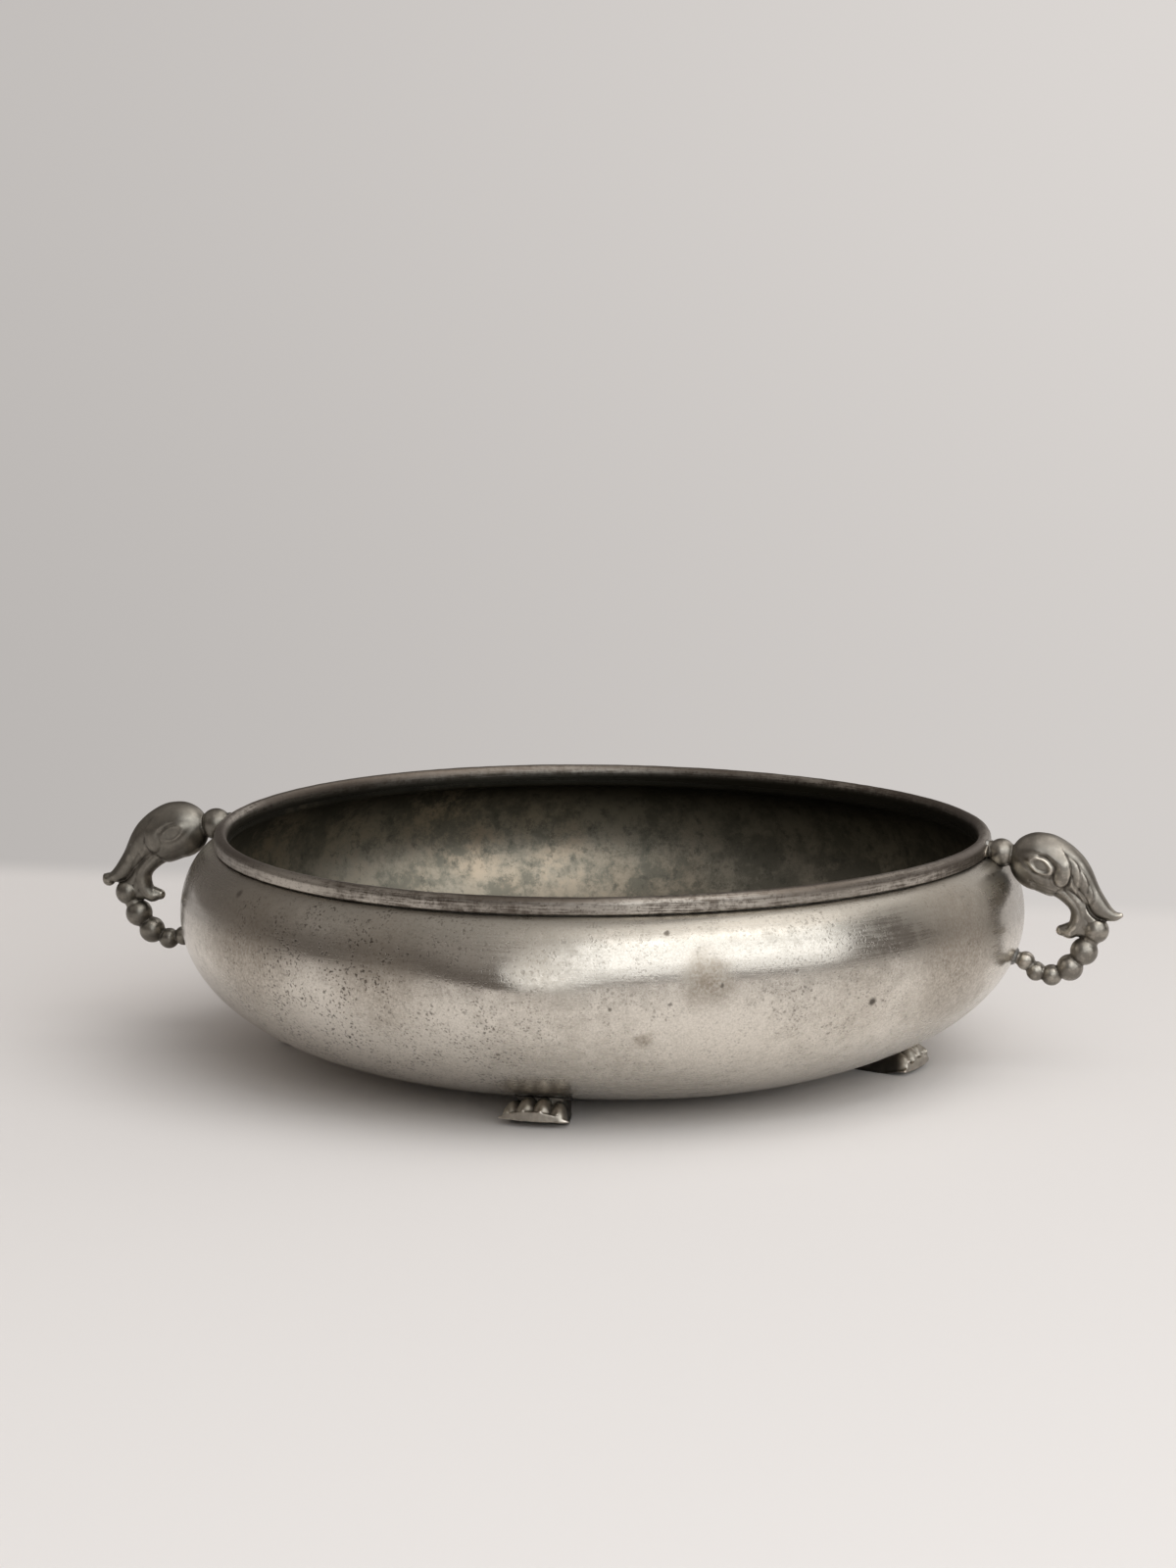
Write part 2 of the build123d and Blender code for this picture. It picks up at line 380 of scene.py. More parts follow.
def lathe(profile, segments, closed=False):
    """Points and faces of (radius, height) pairs turned about Z. A radius of zero becomes one point."""
    turns = np.linspace(0, 2 * math.pi, segments, endpoint=False)
    points = []
    rings = []
    for radius, height in profile:
        first = len(points)
        if radius == 0:
            points.append((0, 0, height))
            rings.append([first] * segments)
        else:
            points.extend((radius * math.cos(turn), radius * math.sin(turn), height) for turn in turns)
            rings.append(list(range(first, first + segments)))
    pairs = list(zip(rings, rings[1:]))
    if closed:
        pairs.append((rings[-1], rings[0]))
    faces = []
    for lower, upper in pairs:
        for this in range(segments):
            after = (this + 1) % segments
            faces.append(list(dict.fromkeys([lower[this], lower[after], upper[after], upper[this]])))
    return np.array(points), faces


def joined(shapes):
    """Several shapes as one."""
    points = []
    faces = []
    count = 0
    for shape_points, shape_faces in shapes:
        faces.extend([corner + count for corner in face] for face in shape_faces)
        points.append(shape_points)
        count += len(shape_points)
    return np.vstack(points), faces


def aimed(shape, start, end):
    """A shape made upward from the origin, moved to start and pointing to end."""
    points, faces = shape
    turn = Vector(end - start).to_track_quat("Z", "Y").to_matrix()
    return points @ np.array(turn).T + start, faces


def rod(start, end, start_radius, end_radius, sides=32):
    length = np.linalg.norm(end - start)
    return aimed(lathe([(0, 0), (start_radius, 0), (end_radius, length), (0, length)], sides), start, end)


def ball(centre, radius, sides=32):
    arc = ellipse_arc((0, 0), radius, radius, -90, 90, sides)
    points, faces = lathe([(0, -radius), *arc[1:-1], (0, radius)], sides)
    return points + centre, faces


def egg(centre, halves, tilt, sides=64):
    """An egg with half sizes along, across and up, its front tipped down by tilt degrees."""
    points, faces = ball(np.zeros(3), 1.0, sides)
    turn = np.array(Matrix.Rotation(math.radians(tilt), 3, "Y"))
    return (points * halves) @ turn.T + centre, faces


def loft(rings, closed=False):
    """Skin over rings that have the same number of points: a loop of them, or a form with flat ends."""
    sides = len(rings[0])
    last = (len(rings) - 1) * sides
    starts = list(range(0, last + sides, sides))
    pairs = list(zip(starts, starts[1:]))
    faces = []
    if closed:
        pairs.append((last, 0))
    else:
        faces += [list(range(sides)), list(range(last, last + sides))]
    for first, beyond in pairs:
        for this in range(sides):
            after = (this + 1) % sides
            faces.append([first + this, first + after, beyond + after, beyond + this])
    return np.vstack(rings), faces


def horn(stations, steps=8, sides=48):
    """Closed tapering form through oval stations in the XZ plane."""
    turns = np.linspace(0, 2 * math.pi, sides, endpoint=False)
    rings = []
    for x, z, angle, half_height, half_width in spline(stations, steps):
        across = np.array([-math.sin(math.radians(angle)), 0, math.cos(math.radians(angle))])
        ring = np.outer(np.cos(turns) * half_height, across)
        ring[:, 1] += np.sin(turns) * half_width
        rings.append(np.array([x, 0, z]) + ring)
    return loft(rings)


def make_mesh(name, shape):
    """A mesh in millimetres, its faces turned outward."""
    points, faces = shape
    mesh = bpy.data.meshes.new(name)
    mesh.from_pydata(np.asarray(points).tolist(), [], faces)
    work = bmesh.new()
    work.from_mesh(mesh)
    bmesh.ops.recalc_face_normals(work, faces=work.faces)
    work.to_mesh(mesh)
    work.free()
    return mesh


def get_vectors(rows, name):
    values = np.empty(len(rows) * 3)
    rows.foreach_get(name, values)
    return values.reshape(-1, 3)


def get_points(mesh):
    return get_vectors(mesh.vertices, "co")


def get_normals(mesh):
    return get_vectors(mesh.vertex_normals, "vector")


def set_points(mesh, points):
    mesh.vertices.foreach_set("co", np.asarray(points).ravel())
    mesh.update()


def neighbour_means(mesh, points):
    """Mean of the points next to each point."""
    ends = np.empty(len(mesh.edges) * 2, int)
    mesh.edges.foreach_get("vertices", ends)
    ends = ends.reshape(-1, 2)
    total = np.zeros_like(points)
    count = np.zeros(len(points))
    for near, far in ((0, 1), (1, 0)):
        np.add.at(total, ends[:, near], points[ends[:, far]])
        np.add.at(count, ends[:, near], 1)
    return total / count[:, None]


def smoothed(mesh, points, passes, keep=0.53):
    """Points eased towards their neighbours and back out again, so that the form keeps its size."""
    for _ in range(passes):
        for share in (0.5, -keep):
            points = points + share * (neighbour_means(mesh, points) - points)
    return points


def fused_mesh(name, shapes, voxel, passes):
    """One even skin round overlapping closed forms."""
    rough = bpy.data.objects.new(name, make_mesh(name, joined(shapes)))
    bpy.context.scene.collection.objects.link(rough)
    remesh = rough.modifiers.new("skin", "REMESH")
    remesh.mode = "VOXEL"
    remesh.voxel_size = voxel
    fused = rough.evaluated_get(bpy.context.evaluated_depsgraph_get())
    mesh = bpy.data.meshes.new_from_object(fused)
    bpy.data.objects.remove(rough)
    set_points(mesh, smoothed(mesh, get_points(mesh), passes))
    return mesh


def mark_hollows(mesh, passes, depth):
    """Store how far each point lies in a hollow, from -1 on a ridge to 1 in a groove of that depth."""
    points = get_points(mesh)
    eased = points
    for _ in range(passes):
        eased = neighbour_means(mesh, eased)
    sunk = ((eased - points) * get_normals(mesh)).sum(1)
    layer = mesh.attributes.new("hollow", "FLOAT", "POINT")
    layer.data.foreach_set("value", np.clip(sunk / depth, -1, 1).astype(np.float32))


def lumps(points, size, seed):
    """Smooth random heights between about -1 and 1 whose lumps are about size millimetres apart."""
    start = Vector((seed, 2 * seed, 3 * seed))
    return np.array([noise.noise(Vector(point) / size + start) for point in points])


def roughened(points, normals, layers):
    """Points moved along their normals by layers of lumps."""
    heights = sum(height * lumps(points, size, seed) for height, size, seed in layers)
    return points + normals * heights[:, None]


def add_piece(name, mesh, node, materials, turn=0.0):
    """Put a mesh in the scene, in metres, in place of a node."""
    mesh.transform(Matrix.Rotation(math.radians(turn), 4, "Z") @ Matrix.Scale(MM, 4))
    mesh.shade_smooth()
    mesh.set_sharp_from_angle(angle=math.radians(SHARP_CORNER))
    for material in materials:
        mesh.materials.append(material)
    piece = bpy.data.objects.new(name, mesh)
    bpy.context.scene.collection.objects.link(piece)
    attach(piece, "root")
    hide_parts(node)


def make_camera():
    data = bpy.data.cameras.new("camera")
    data.sensor_width = SENSOR_MM
    data.lens = FOCAL_PIXELS / max(PHOTO_PIXELS) * SENSOR_MM
    camera = bpy.data.objects.new("camera", data)
    camera.location = heading(CAMERA_AZIMUTH, 0) * CAMERA_DISTANCE + Vector((0, 0, CAMERA_HEIGHT))
    turn = math.radians(CAMERA_AZIMUTH + CAMERA_YAW)
    camera.rotation_euler = Euler((math.radians(90 - CAMERA_PITCH), 0, turn))
    bpy.context.scene.collection.objects.link(camera)
    bpy.context.scene.camera = camera
    return camera


def sight_line(camera, pixel):
    """Direction from the camera through a pixel of the photograph."""
    across = (pixel[0] - PHOTO_PIXELS[0] / 2) / FOCAL_PIXELS
    up = (PHOTO_PIXELS[1] / 2 - pixel[1]) / FOCAL_PIXELS
    return (camera.rotation_euler.to_matrix() @ Vector((across, up, -1))).normalized()


def surface_finder(camera, mesh):
    """A function that gives the point of the mesh, in millimetres, that shows at a pixel."""
    faces = [list(face.vertices) for face in mesh.polygons]
    tree = BVHTree.FromPolygons(get_points(mesh).tolist(), faces)

    def find(pixel):
        return tree.ray_cast(camera.location / MM, sight_line(camera, pixel))[0]

    return find


def placed(find, rows):
    """Rows of marks with the pixel of each turned into its point on the surface."""
    return [(find(pixel), size, strength) for pixel, size, strength in rows]


class Nodes:
    """A tree of shader nodes being put together."""

    def __init__(self, owner):
        owner.use_nodes = True
        self.nodes = owner.node_tree.nodes
        self.links = owner.node_tree.links

    def add(self, kind, inputs=None, **settings):
        node = self.nodes.new(f"ShaderNode{kind}")
        for name, value in settings.items():
            setattr(node, name, value)
        for key, value in (inputs or {}).items():
            self.feed(node.inputs[key], value)
        return node

    def feed(self, socket, value):
        if isinstance(value, bpy.types.NodeSocket):
            self.links.new(value, socket)
        else:
            socket.default_value = value

    def math(self, operation, *values):
        return self.add("Math", dict(enumerate(values)), operation=operation).outputs[0]

    def times(self, first, second):
        return self.math("MULTIPLY", first, second)

    def plus(self, first, second):
        return self.math("ADD", first, second)

    def weighed(self, *pairs):
        """Sum of values, each times its weight."""
        total, *others = [self.times(value, weight) for value, weight in pairs]
        for other in others:
            total = self.plus(total, other)
        return total

    def vector(self, operation, *vectors):
        return self.add("VectorMath", dict(enumerate(vectors)), operation=operation).outputs[0]

    def measure(self, operation, *vectors):
        """A number worked out from vectors."""
        return self.add("VectorMath", dict(enumerate(vectors)), operation=operation).outputs["Value"]

    def step(self, value, low, high, start=0.0, end=1.0):
        """Smooth change from start to end while value goes from low to high."""
        inputs = {"Value": value, "From Min": low, "From Max": high, "To Min": start, "To Max": end}
        return self.add("MapRange", inputs, interpolation_type="SMOOTHSTEP").outputs[0]


class Finish(Nodes):
    """A material being put together. Sizes are in millimetres."""

    def __init__(self, name):
        self.material = bpy.data.materials.new(name)
        super().__init__(self.material)
        self.surface = self.nodes["Principled BSDF"]
        self.place = self.add("TexCoord").outputs["Object"]

    def parts(self, vector):
        return self.add("SeparateXYZ", {0: vector}).outputs

    def height(self):
        return self.parts(self.place)[2]

    def flat(self):
        """Place seen from above, whose length is the distance from the bowl's axis."""
        x, y, _ = self.parts(self.place)
        return self.add("CombineXYZ", {0: x, 1: y}).outputs[0]

    def blend(self, share, first, second):
        """Colour that goes from first to second."""
        return self.add("Mix", {0: share, 6: first, 7: second}, data_type="RGBA").outputs[2]

    def noise(self, size, detail=2.0, roughness=0.5):
        """Noise around 0.5 whose lumps are about size apart."""
        inputs = {"Vector": self.place, "Scale": 1 / (size * MM), "Detail": detail, "Roughness": roughness}
        return self.add("TexNoise", inputs).outputs[0]

    def dots(self, place, size, radius, share):
        """Dots, at most one to a cell of that size: radius in cells, and the share of cells with a dot."""
        cells = self.add("TexVoronoi", {"Vector": place, "Scale": 1 / (size * MM)}).outputs
        chosen = self.math("LESS_THAN", self.parts(cells["Color"])[0], share)
        return self.times(self.step(cells["Distance"], 0.5 * radius, radius, 1.0, 0.0), chosen)

    def turned_lines(self, size, run):
        """Noise drawn out along the turning direction: size across the lines and run along them."""
        flat = self.flat()
        stretch = BELLY_RADIUS / run
        spread = self.vector("MULTIPLY", self.vector("NORMALIZE", flat), (stretch, stretch, stretch))
        east, north, _ = self.parts(spread)
        level = self.times(self.height(), 1 / (size * MM))
        vector = self.add("CombineXYZ", {0: east, 1: north, 2: level}).outputs[0]
        depth = self.times(self.measure("LENGTH", flat), 1 / (size * MM))
        inputs = {"Vector": vector, "W": depth, "Scale": 1.0, "Detail": 2.0}
        return self.add("TexNoise", inputs, noise_dimensions="4D").outputs[0]

    def shaken(self, amount, size, detail=3.0):
        """The surface's place, moved about by noise by up to amount."""
        inputs = {"Vector": self.place, "Scale": 1 / (size * MM), "Detail": detail}
        drift = self.add("TexNoise", inputs).outputs["Color"]
        centred = self.vector("SUBTRACT", drift, (0.5, 0.5, 0.5))
        reach = 2 * amount * MM
        return self.vector("ADD", self.place, self.vector("MULTIPLY", centred, (reach, reach, reach)))

    def marks(self, rows, core, place=None, start=0.0):
        """The strongest of round marks: place, size and strength, full over the core share of the size."""
        total = start
        for centre, size, strength in rows:
            gap = self.measure("DISTANCE", self.place if place is None else place, Vector(centre) * MM)
            mark = self.step(gap, core * size * MM, size * MM, strength, 0.0)
            total = self.math("MAXIMUM", total, mark)
        return total

    def bump(self, height, distance, normal=None):
        """A bumped normal, where height goes from 0 to 1 over distance."""
        inputs = {"Height": height, "Distance": distance * MM}
        if normal is not None:
            inputs["Normal"] = normal
        return self.add("Bump", inputs).outputs[0]

    def metal(self, colour, roughness, normal):
        self.surface.inputs["Metallic"].default_value = 1.0
        self.feed(self.surface.inputs["Base Color"], colour)
        self.feed(self.surface.inputs["Roughness"], roughness)
        self.feed(self.surface.inputs["Normal"], normal)
        return self.material


# Colours of the pewter, its stains and pits, its darker tones higher up, and painted shade
CLEAN_PEWTER = (0.83, 0.785, 0.71, 1)
DULL_PEWTER = (0.50, 0.465, 0.41, 1)
BELLY_DARKENING = (0.46, 0.43, 0.385, 1)
SHOULDER_DARKENING = (0.34, 0.32, 0.282, 1)
BROWN_STAIN_AND_SHADE = (0.27, 0.225, 0.175, 1)
DARK_PIT = (0.075, 0.062, 0.05, 1)
# Painted shade on the ankles, under the bowl
ANKLE_PAINTED_SHADE = (0.04, 0.036, 0.03, 1)
INSIDE_DARK = (0.13, 0.124, 0.10, 1)
INSIDE_PALE = (0.24, 0.22, 0.178, 1)
INSIDE_WORN = (0.30, 0.243, 0.178, 1)
INSIDE_BLOTCH = (0.065, 0.066, 0.055, 1)
# Painted shade inside the bowl under the lip
INSIDE_PAINTED_SHADE = (0.02, 0.019, 0.015, 1)
RIM_DARK = (0.115, 0.095, 0.078, 1)
RIM_BRIGHT = (0.58, 0.54, 0.48, 1)
# Painted shade on the rim's face towards the mouth
RIM_PAINTED_SHADE = (0.03, 0.028, 0.022, 1)

# Heights between which the outside turns darker towards the top, and the painted shade inside sets in, in
# mm
BELLY_DARKENING_HEIGHTS = (35.0, 48.0)
SHOULDER_DARKENING_HEIGHTS = (49.0, 59.0)
DARKENING_EDGE = 2.0
INSIDE_SHADE_HEIGHTS = (42.0, 61.0)


def outside_finish(stains_and_shade, spots, speckled):
    """Worn pewter with fine turning lines, grain, pits, brown stains and one mark of painted shade."""
    finish = Finish("pewter_outside")
    broad = finish.noise(34, detail=4)
    mottle = finish.noise(4, detail=6, roughness=0.7)
    lines = finish.turned_lines(0.4, 16)
    dull = finish.step(finish.weighed((broad, 0.55), (mottle, 0.45)), 0.42, 0.66)
    colour = finish.blend(finish.times(dull, 0.6), CLEAN_PEWTER, DULL_PEWTER)
    ragged = finish.step(mottle, 0.3, 0.7, -DARKENING_EDGE * MM, DARKENING_EDGE * MM)
    ragged = finish.plus(finish.height(), ragged)
    # The outside turns darker towards the top of the belly and the shoulder
    low, high = BELLY_DARKENING_HEIGHTS
    colour = finish.blend(finish.step(ragged, low * MM, high * MM, 0.0, 0.9), colour, BELLY_DARKENING)
    low, high = SHOULDER_DARKENING_HEIGHTS
    darkening = finish.step(ragged, low * MM, high * MM, 0.0, 0.9)
    colour = finish.blend(darkening, colour, SHOULDER_DARKENING)
    grit = finish.noise(0.5, detail=4, roughness=0.7)
    colour = finish.blend(finish.step(grit, 0.38, 0.66, 0.0, 0.26), colour, BROWN_STAIN_AND_SHADE)
    # Brown stains, and one mark of painted shade beside the bulge
    stain_and_shade = finish.marks(stains_and_shade, 0.15, finish.shaken(3.5, 5.0, detail=8.0))
    grain = finish.step(finish.noise(0.9, detail=3, roughness=0.7), 0.35, 0.65, 0.5, 1.0)
    colour = finish.blend(finish.times(stain_and_shade, grain), colour, BROWN_STAIN_AND_SHADE)
    clusters = finish.step(finish.noise(10, detail=5, roughness=0.65), 0.42, 0.58, 0.3, 1.0)
    uneven = finish.shaken(0.9, 1.1, detail=5.0)
    fine = finish.dots(uneven, 0.95, 0.44, 0.75)
    coarse = finish.dots(uneven, 2.4, 0.25, 0.6)
    specks = finish.times(finish.math("MAXIMUM", finish.times(fine, 0.8), coarse), clusters)
    pits = finish.times(specks, finish.marks(speckled, 0.3, start=0.35))
    pits = finish.marks(spots, 0.3, finish.shaken(0.45, 1.0), start=pits)
    colour = finish.blend(finish.times(pits, 0.9), colour, DARK_PIT)
    rough = finish.plus(finish.step(dull, 0.0, 1.0, 0.18, 0.27), finish.times(stain_and_shade, 0.25))
    rough = finish.plus(rough, finish.step(lines, 0.3, 0.7, -0.03, 0.05))
    rough = finish.plus(rough, finish.times(darkening, 0.1))
    normal = finish.bump(lines, 0.008)
    normal = finish.bump(mottle, 0.008, normal)
    normal = finish.bump(finish.math("SUBTRACT", 1.0, pits), 0.05, normal)
    return finish.metal(colour, rough, normal)


def inside_finish(worn_places):
    """Blotchy olive-brown patina, with painted shade that turns it nearly black under the lip, and paler
    worn patches low down.
    """
    finish = Finish("pewter_inside")
    broad = finish.noise(20, detail=4, roughness=0.6)
    mottle = finish.noise(7, detail=9, roughness=0.78)
    lines = finish.turned_lines(0.6, 20)
    mixed = finish.weighed((broad, 0.45), (mottle, 0.55))
    colour = finish.blend(finish.step(mixed, 0.43, 0.57), INSIDE_DARK, INSIDE_PALE)
    worn = finish.marks(worn_places, 0.1, finish.shaken(5.0, 8.0, detail=8.0))
    worn = finish.times(worn, finish.step(mottle, 0.42, 0.58, 0.15, 1.0))
    colour = finish.blend(worn, colour, INSIDE_WORN)
    blotches = finish.step(finish.noise(4.0, detail=6, roughness=0.72), 0.54, 0.64)
    colour = finish.blend(finish.times(blotches, 0.5), colour, INSIDE_BLOTCH)
    # Painted shade: the inside turns nearly black towards the lip, less so on the worn patches
    start, end = INSIDE_SHADE_HEIGHTS
    inside_shade = finish.step(finish.height(), start * MM, end * MM, 0.0, 0.96)
    inside_shade = finish.times(inside_shade, finish.step(worn, 0.0, 1.0, 1.0, 0.3))
    colour = finish.blend(inside_shade, colour, INSIDE_PAINTED_SHADE)
    rough = finish.step(worn, 0.0, 1.0, 0.46, 0.38)
    normal = finish.bump(lines, 0.01)
    normal = finish.bump(mottle, 0.10, normal)
    return finish.metal(colour, rough, normal)


def rim_finish(rubbed):
    """Darkened pewter, rubbed bright in patches; the face towards the mouth has painted shade, nearly
    black, low down.
    """
    finish = Finish("pewter_rim")
    height = finish.height()
    radius = finish.measure("LENGTH", finish.flat())
    broad = finish.noise(45, detail=3)
    mottle = finish.noise(2.5, detail=5, roughness=0.7)
    lines = finish.turned_lines(0.35, 9)
    patch = finish.marks(rubbed, 0.2)
    mixed = finish.weighed((broad, 0.3), (mottle, 0.35), (lines, 0.35), (patch, 0.1))
    flank = finish.step(height, (RIM_Z + 1.6) * MM, (RIM_Z + 3.4) * MM, 0.5, 0.04)
    worn = finish.times(finish.step(mixed, 0.42, 0.58), finish.plus(patch, flank))
    colour = finish.blend(worn, RIM_DARK, RIM_BRIGHT)
    pits = finish.step(finish.noise(0.8, detail=3, roughness=0.65), 0.56, 0.66)
    colour = finish.blend(finish.times(pits, 0.6), colour, DARK_PIT)
    # Painted shade: the face towards the mouth turns nearly black low down
    inner = finish.step(radius, (MOUTH_RADIUS + 0.1) * MM, (MOUTH_RADIUS + 1.2) * MM, 1.0, 0.0)
    low = finish.step(height, (RIM_Z + 0.5) * MM, (RIM_TOP_Z - 0.4) * MM, 1.0, 0.0)
    colour = finish.blend(finish.times(inner, low), colour, RIM_PAINTED_SHADE)
    rough = finish.step(worn, 0.0, 1.0, 0.42, 0.28)
    normal = finish.bump(lines, 0.012)
    normal = finish.bump(mottle, 0.05, normal)
    return finish.metal(colour, rough, normal)


def casting_finish(name, base, hollow_colour, rubbed, roughness, ankle_shade=None):
    """Cast pewter, dark in its hollows and rubbed on its high places. Ankle shade: radii between which the
    painted shade under the bowl thins out.
    """
    finish = Finish(name)
    hollow = finish.add("Attribute", attribute_name="hollow").outputs["Fac"]
    mottle = finish.noise(3, detail=5, roughness=0.65)
    grain = finish.noise(0.5, detail=3)
    shade = finish.plus(hollow, finish.step(mottle, 0.3, 0.7, -0.25, 0.25))
    darker = (*(0.8 * part for part in base[:3]), 1)
    colour = finish.blend(finish.step(mottle, 0.35, 0.65), base, darker)
    colour = finish.blend(finish.step(shade, 0.1, 0.8), colour, hollow_colour)
    colour = finish.blend(finish.step(shade, -0.9, -0.2, 0.8, 0.0), colour, rubbed)
    # Painted shade, nearly black on the ankle close under the bowl
    if ankle_shade is not None:
        near, far = ankle_shade
        radius = finish.measure("LENGTH", finish.flat())
        colour = finish.blend(finish.step(radius, near * MM, far * MM, 0.85, 0.0), colour, ANKLE_PAINTED_SHADE)
    rough = finish.step(shade, -0.6, 0.6, *roughness)
    normal = finish.bump(mottle, 0.05)
    normal = finish.bump(grain, 0.02, normal)
    return finish.metal(colour, rough, normal)


def solder_finish(name, dark, light):
    """Dull grey solder, lumpy and tarnished."""
    finish = Finish(name)
    mottle = finish.noise(1.5, detail=5, roughness=0.65)
    colour = finish.blend(finish.step(mottle, 0.35, 0.65), dark, light)
    rough = finish.step(mottle, 0.3, 0.7, 0.5, 0.36)
    return finish.metal(colour, rough, finish.bump(mottle, 0.08))


def warp(points):
    """Lift two quarters of the rim and lower the other two, fading out at the belly."""
    turn = np.arctan2(points[:, 1], points[:, 0]) - math.radians(SADDLE_TURN)
    share = smooth_step(points[:, 2], BELLY_Z, RIM_TOP_Z)
    moved = points.copy()
    moved[:, 2] -= SADDLE_RISE * np.sin(2 * turn) * share
    return moved


def bowl_profile(grow):
    """The bowl's outline from the middle of its base to its lip, moved outward by grow."""
    bottom = BASE_Z - grow
    base = [(radius, bottom) for radius in np.linspace(0, BASE_RADIUS, BASE_RINGS, endpoint=False)]
    side_centre = (BASE_RADIUS, BELLY_Z)
    side_reach = BELLY_RADIUS - BASE_RADIUS + grow
    side = ellipse_arc(side_centre, side_reach, BELLY_RISE + grow, -90, 0, SIDE_RINGS)
    shoulder_centre = (LIP_RADIUS, BELLY_Z)
    shoulder_rise = LIP_Z - BELLY_Z + grow
    shoulder = ellipse_arc(shoulder_centre, LIP_INSET + grow, shoulder_rise, 0, 90, SHOULDER_RINGS)
    return base + side + shoulder[1:]


def bulge_height(offsets, outward):
    """How far the bulge stands out at points, given from its middle, on its own side of the bowl."""
    side = np.cross([0, 0, 1], outward)
    side /= np.linalg.norm(side)
    rise = np.cross(outward, side)
    tilt = math.radians(BULGE["tilt"])
    across = offsets @ (math.cos(tilt) * side + math.sin(tilt) * rise)
    up = offsets @ (math.cos(tilt) * rise - math.sin(tilt) * side)
    wide = np.where(across < 0, BULGE["left"], BULGE["right"])
    tall = np.where(up < 0, BULGE["below"], BULGE["above"])
    near = offsets @ outward > -BELLY_RADIUS / 2
    return BULGE["height"] * np.exp(-((across / wide) ** 2 + (up / tall) ** 2) / 2) * near


def make_bowl(camera):
    outer = bowl_profile(0)
    inner = bowl_profile(-WALL)[::-1]
    lip_centre = (LIP_RADIUS, LIP_Z - WALL / 2)
    lip = [(MOUTH_RADIUS, LIP_Z), *ellipse_arc(lip_centre, LIP_WIDTH, WALL / 2, 180, 270, count=6)]
    mesh = make_mesh("bowl_shell", lathe(outer + lip + inner[1:], BOWL_SEGMENTS))
    normals = get_normals(mesh)
    points = warp(roughened(get_points(mesh), normals, BOWL_LUMPS))
    set_points(mesh, points)
    on_bowl = surface_finder(camera, mesh)

    def outward(place):
        nearest = np.linalg.norm(points - place, axis=1).argmin()
        return normals[nearest]

    place = on_bowl(BULGE["pixel"])
    points = points + np.outer(bulge_height(points - place, outward(place)), outward(place))
    place = on_bowl(SWELLING["pixel"])
    gaps = np.linalg.norm(points - place, axis=1)
    swell = SWELLING["height"] * np.exp(-((gaps / SWELLING["spread"]) ** 2) / 2)
    set_points(mesh, points + np.outer(swell, outward(place)))
    inside_from = len(outer) * BOWL_SEGMENTS
    corners = [max(face.vertices) for face in mesh.polygons]
    mesh.polygons.foreach_set("material_index", [int(corner >= inside_from) for corner in corners])
    outside = outside_finish(*(placed(on_bowl, rows) for rows in (STAINS_AND_SHADE, SPOTS, SPECKLED)))
    inside = inside_finish(placed(on_bowl, INSIDE_WEAR))
    add_piece("bowl_shell", mesh, "bowl_body", [outside, inside])


def rim_profile():
    """The rim's section, rounded on both sides and bedded a little way into its solder."""
    bottom = RIM_Z - RIM_BED
    under_middle = (RIM_RADIUS - RIM_UNDER_ROUND, bottom + RIM_UNDER_ROUND)
    under = ellipse_arc(under_middle, RIM_UNDER_ROUND, RIM_UNDER_ROUND, -90, 0, count=6)
    top_middle = (RIM_RADIUS - RIM_TOP_ROUND, RIM_TOP_Z - RIM_TOP_ROUND)
    top = ellipse_arc(top_middle, RIM_TOP_ROUND, RIM_TOP_ROUND, 0, 90, count=12)
    inner_across, inner_drop = RIM_INNER_ROUND
    inner_middle = (MOUTH_RADIUS + inner_across, RIM_TOP_Z - inner_drop)
    inner = ellipse_arc(inner_middle, inner_across, inner_drop, 90, 180, count=10)
    return under + top + inner + [(MOUTH_RADIUS, bottom)]


def make_rim(camera):
    mesh = make_mesh("rim_strip", lathe(rim_profile(), 2 * BOWL_SEGMENTS, closed=True))
    set_points(mesh, warp(roughened(get_points(mesh), get_normals(mesh), RIM_LUMPS)))
    rubbed = placed(surface_finder(camera, mesh), RUBBED_RIM)
    add_piece("rim_strip", mesh, "rim_band", [rim_finish(rubbed)])


def make_rim_seam(solder):
    outer = RIM_RADIUS - RIM_UNDER_ROUND - SEAM_OUTER_SETBACK
    inner = MOUTH_RADIUS + SEAM_INNER_SETBACK
    top = [(outer, RIM_Z), (inner, RIM_Z)]
    section = [(inner, LIP_Z), (LIP_RADIUS, LIP_Z), (outer, LIP_Z - SEAM_DROP), *top]
    mesh = make_mesh("rim_seam", lathe(section, BOWL_SEGMENTS, closed=True))
    points = get_points(mesh)
    radius = np.hypot(points[:, 0], points[:, 1])[:, None]
    on_face = radius > (LIP_RADIUS + outer) / 2
    radial = points * [1, 1, 0] / radius
    set_points(mesh, warp(roughened(points, radial * on_face, SEAM_LUMPS)))
    add_piece("rim_seam", mesh, "rim_solder", [solder])


def handle_point(place):
    """A place on the handle's middle plane as a point of the model."""
    return np.array([BELLY_RADIUS + place[0], 0.0, RIM_TOP_Z - place[1]])


def handle_stations(stations):
    """Stations of the head or lip as places in the model."""
    return [(*handle_point(row[:2])[[0, 2]], *row[2:]) for row in stations]


def tongue_ends():
    rim_end = np.array([RIM_RADIUS - TONGUE_BITE, 0, (RIM_Z + RIM_TOP_Z) / 2])
    return handle_point(UPPER_BEAD_PLACE), rim_end


def collar_ends():
    bead = handle_point(BEAD_PLACES[-1])
    drop = (BELLY_Z - bead[2]) / BELLY_RISE
    wall = BASE_RADIUS + (BELLY_RADIUS - BASE_RADIUS) * math.sqrt(1 - drop**2)
    rise = math.radians(COLLAR_RISE_ANGLE)
    reach = (bead[0] - wall) / math.cos(rise) + COLLAR_BITE
    return bead, bead + reach * np.array([-math.cos(rise), 0, math.sin(rise)])


